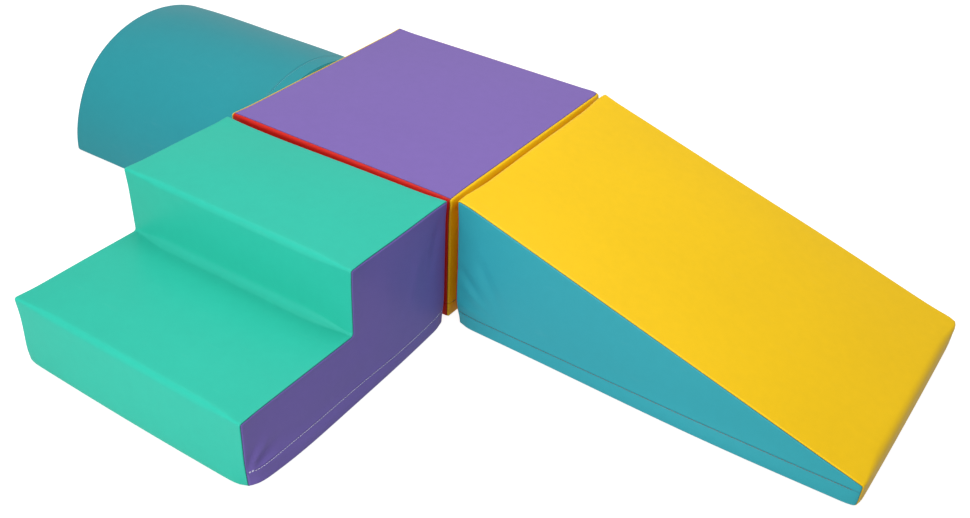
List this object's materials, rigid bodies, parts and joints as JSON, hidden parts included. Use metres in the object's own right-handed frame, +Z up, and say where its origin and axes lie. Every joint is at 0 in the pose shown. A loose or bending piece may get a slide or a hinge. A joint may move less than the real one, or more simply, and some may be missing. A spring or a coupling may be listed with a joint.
{
  "type": "soft play foam climber",
  "caption": "Soft play climber: foam steps, platform, ramp and half-round in coloured vinyl covers, joined by hook-and-loop.",
  "frame": {"origin": "centre of the platform's base, on the floor", "axes": "+X from the platform down the ramp, -Y from the platform down the steps, -X towards the half-round, +Z up"},
  "size_m": [2.151, 1.2655, 0.319],
  "materials": {
    "purple_vinyl": "satin coated vinyl with a fine leather grain",
    "red_vinyl": "satin coated vinyl with a fine leather grain",
    "yellow_vinyl": "satin coated vinyl with a fine leather grain",
    "green_vinyl": "satin coated vinyl with a fine leather grain",
    "teal_vinyl": "satin coated vinyl with a fine leather grain",
    "foam": "cut polyurethane foam, stands in for foam",
    "grip_base": "non-slip coated base fabric",
    "hook_and_loop": "woven hook-and-loop tape",
    "zip_tape": "woven zip tape",
    "zip_coil": "nylon coil",
    "zip_metal": "die-cast slider"
  },
  "bodies": {
    "half_round_module": {"half_round_base_panel": "grip_base", "half_round_curved_panel": "teal_vinyl", "half_round_far_end_panel": "teal_vinyl", "half_round_foam_core": "foam", "half_round_hook_strip": "hook_and_loop", "half_round_near_end_panel": "teal_vinyl", "half_round_zip_coil": "zip_coil", "half_round_zip_tape": "zip_tape"},
    "half_round_zip_pull": {"half_round_zip_slider": "zip_metal"},
    "platform_module": {"platform_back_panel": "red_vinyl", "platform_base_panel": "grip_base", "platform_foam_core": "foam", "platform_front_panel": "red_vinyl", "platform_half_round_loop_strip": "hook_and_loop", "platform_left_panel": "yellow_vinyl", "platform_ramp_loop_strip_lower": "hook_and_loop", "platform_ramp_loop_strip_upper": "hook_and_loop", "platform_right_panel": "yellow_vinyl", "platform_steps_loop_strip_lower": "hook_and_loop", "platform_steps_loop_strip_upper": "hook_and_loop", "platform_top_panel": "purple_vinyl", "platform_zip_coil": "zip_coil", "platform_zip_tape": "zip_tape"},
    "platform_zip_pull": {"platform_zip_slider": "zip_metal"},
    "ramp_module": {"ramp_back_panel": "red_vinyl", "ramp_base_panel": "grip_base", "ramp_far_side_panel": "teal_vinyl", "ramp_foam_core": "foam", "ramp_hook_strip_lower": "hook_and_loop", "ramp_hook_strip_upper": "hook_and_loop", "ramp_near_side_panel": "teal_vinyl", "ramp_slope_panel": "yellow_vinyl", "ramp_zip_coil": "zip_coil", "ramp_zip_tape": "zip_tape"},
    "ramp_zip_pull": {"ramp_zip_slider": "zip_metal"},
    "steps_module": {"steps_back_panel": "red_vinyl", "steps_base_panel": "grip_base", "steps_foam_core": "foam", "steps_hook_strip_lower": "hook_and_loop", "steps_hook_strip_upper": "hook_and_loop", "steps_left_panel": "purple_vinyl", "steps_right_panel": "purple_vinyl", "steps_wrap_panel": "green_vinyl", "steps_zip_coil": "zip_coil", "steps_zip_tape": "zip_tape"},
    "steps_zip_pull": {"steps_zip_slider": "zip_metal"}
  },
  "joints": [
    {"name": "steps_pull_off", "type": "slide", "parent": "platform_module", "child": "steps_module", "axis": [0, -1, 0], "range_m": [0, 0.3]},
    {"name": "ramp_pull_off", "type": "slide", "parent": "platform_module", "child": "ramp_module", "axis": [1, 0, 0], "range_m": [0, 0.3]},
    {"name": "half_round_pull_off", "type": "slide", "parent": "platform_module", "child": "half_round_module", "axis": [-1, 0, 0], "range_m": [0, 0.3]},
    {"name": "platform_zip", "type": "slide", "parent": "platform_module", "child": "platform_zip_pull", "axis": [1, 0, 0], "range_m": [0, 0.412]},
    {"name": "steps_zip", "type": "slide", "parent": "steps_module", "child": "steps_zip_pull", "axis": [0, -1, 0], "range_m": [0, 0.412]},
    {"name": "ramp_zip", "type": "slide", "parent": "ramp_module", "child": "ramp_zip_pull", "axis": [1, 0, 0], "range_m": [0, 0.672]},
    {"name": "half_round_zip", "type": "slide", "parent": "half_round_module", "child": "half_round_zip_pull", "axis": [0, 1, 0], "range_m": [0, 0.412]}
  ]
}
